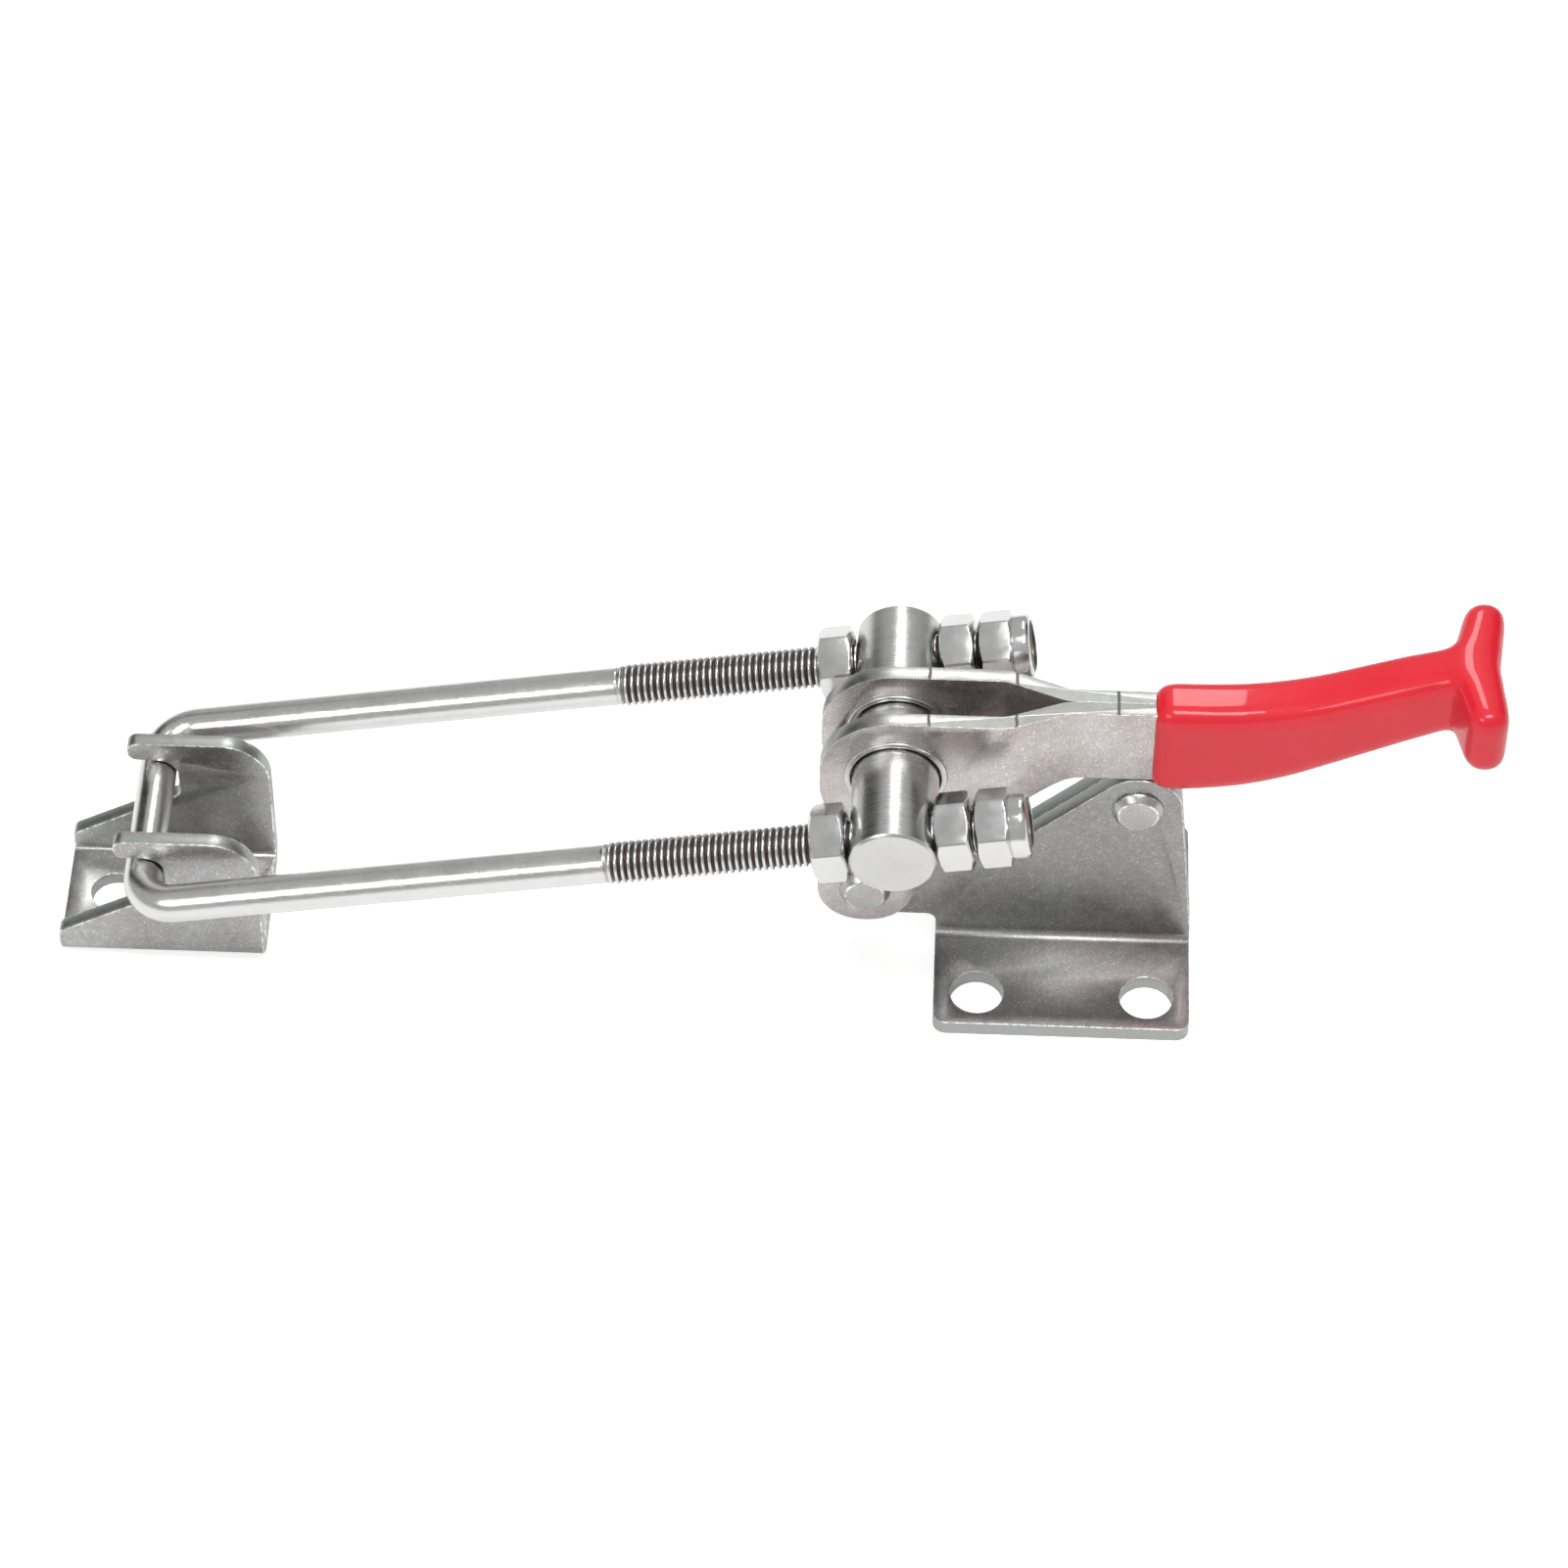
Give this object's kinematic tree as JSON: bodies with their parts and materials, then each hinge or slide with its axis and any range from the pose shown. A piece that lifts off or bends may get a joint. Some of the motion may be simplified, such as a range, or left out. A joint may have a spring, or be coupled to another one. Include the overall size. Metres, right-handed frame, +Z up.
{
  "type": "toggle clamp",
  "caption": "Pull-action toggle clamp with a forked handle, a dipped grip, a U-bolt on a cross trunnion and a hooked latch plate.",
  "frame": {"origin": "centre of the base's four bolt holes, on the mounting face", "axes": "+X along the clamp towards the grip, +Y across the clamp, +Z up from the mounting face"},
  "size_m": [0.2667, 0.057, 0.0805],
  "materials": {
    "base_steel": "satin pressed stainless sheet",
    "handle_steel": "satin pressed stainless sheet",
    "latch_steel": "satin pressed stainless sheet",
    "rivet_steel": "formed stainless rivet",
    "turned_steel": "fine turned stainless bar",
    "nut_steel": "bright stainless",
    "rod_steel": "bright drawn stainless rod",
    "nylon": "plain nylon",
    "red_vinyl": "glossy dipped vinyl"
  },
  "bodies": {
    "base": {"base_plate_near": "base_steel", "base_plate_far": "base_steel", "pivot_rivet": "rivet_steel", "stop_rivet": "rivet_steel"},
    "handle": {"handle_plate_near": "handle_steel", "handle_plate_far": "handle_steel", "grip": "red_vinyl", "bushing_near": "turned_steel", "bushing_far": "turned_steel"},
    "trunnion": {"trunnion": "turned_steel", "inner_nut_near": "nut_steel", "outer_nut_near": "nut_steel", "lock_nut_near": "nut_steel", "lock_insert_near": "nylon", "inner_nut_far": "nut_steel", "outer_nut_far": "nut_steel", "lock_nut_far": "nut_steel", "lock_insert_far": "nylon"},
    "hook": {"u_bolt": "rod_steel", "latch_plate": "latch_steel"}
  },
  "joints": [
    {"name": "handle_pivot", "type": "hinge", "parent": "base", "child": "handle", "pos_m": [-0.0374, 0, 0.0195], "axis": [0, -1, 0], "range_deg": [0, 130]},
    {"name": "trunnion_swivel", "type": "hinge", "parent": "handle", "child": "trunnion", "pos_m": [-0.0322, 0, 0.0515], "axis": [0, -1, 0], "range_deg": [-160, 80]},
    {"name": "hook_adjust", "type": "slide", "parent": "trunnion", "child": "hook", "axis": [0.9823, 0, 0.1874], "range_m": [0, 0.035]}
  ]
}
